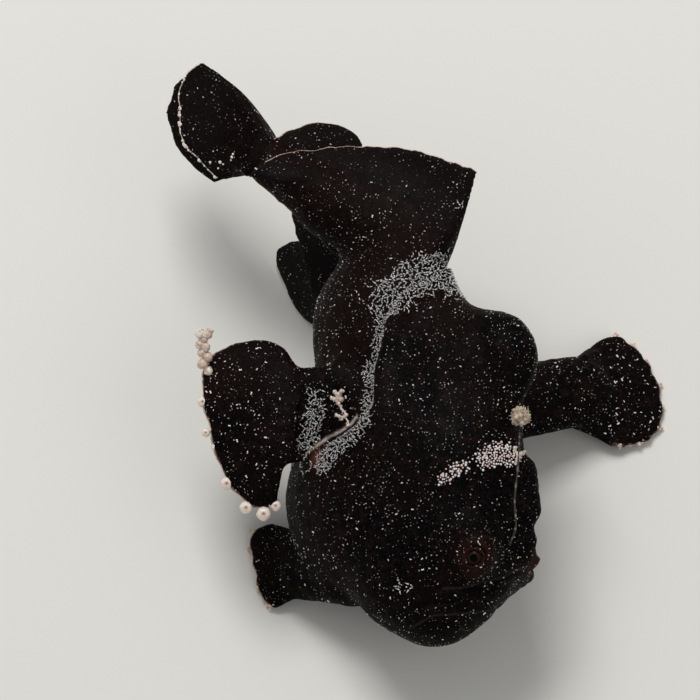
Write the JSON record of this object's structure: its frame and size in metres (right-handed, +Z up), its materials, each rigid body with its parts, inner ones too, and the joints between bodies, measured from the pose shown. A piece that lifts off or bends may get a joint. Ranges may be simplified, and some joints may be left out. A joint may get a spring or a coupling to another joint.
{
  "type": "frogfish model",
  "caption": "Still, life-size model of a black juvenile frogfish standing on its splayed fins, tail curled up and fin folded.",
  "frame": {"origin": "on the floor under the middle of the whole fish", "axes": "+Z up, -Y towards the snout, +X to the side of the left pectoral fin"},
  "size_m": [0.0388, 0.0468, 0.0185],
  "materials": {
    "skin": "black skin with pale prickles",
    "fin": "black fin skin, satin",
    "fin_tips": "pale fleshy tips, satin",
    "spinules": "pale prickles",
    "lure": "pale fleshy thread, matte",
    "eye": "glossy dark eye"
  },
  "bodies": {
    "root": {"head": "skin", "lower_jaw": "skin", "trunk": "skin", "tail_stalk": "skin", "eye_right": "eye", "eye_left": "eye", "dorsal_spine_third": "skin", "dorsal_spine_second": "skin", "illicium": "lure", "esca": "lure", "dorsal_fin": "fin", "anal_fin": "fin", "tail_fin_lower_half": "fin", "tail_fin_upper_half": "fin", "pectoral_arm_right": "skin", "pectoral_fin_right": "fin", "pectoral_arm_left": "skin", "pectoral_fin_left": "fin", "pelvic_fin_right": "fin", "pelvic_fin_left": "fin"}
  },
  "joints": []
}
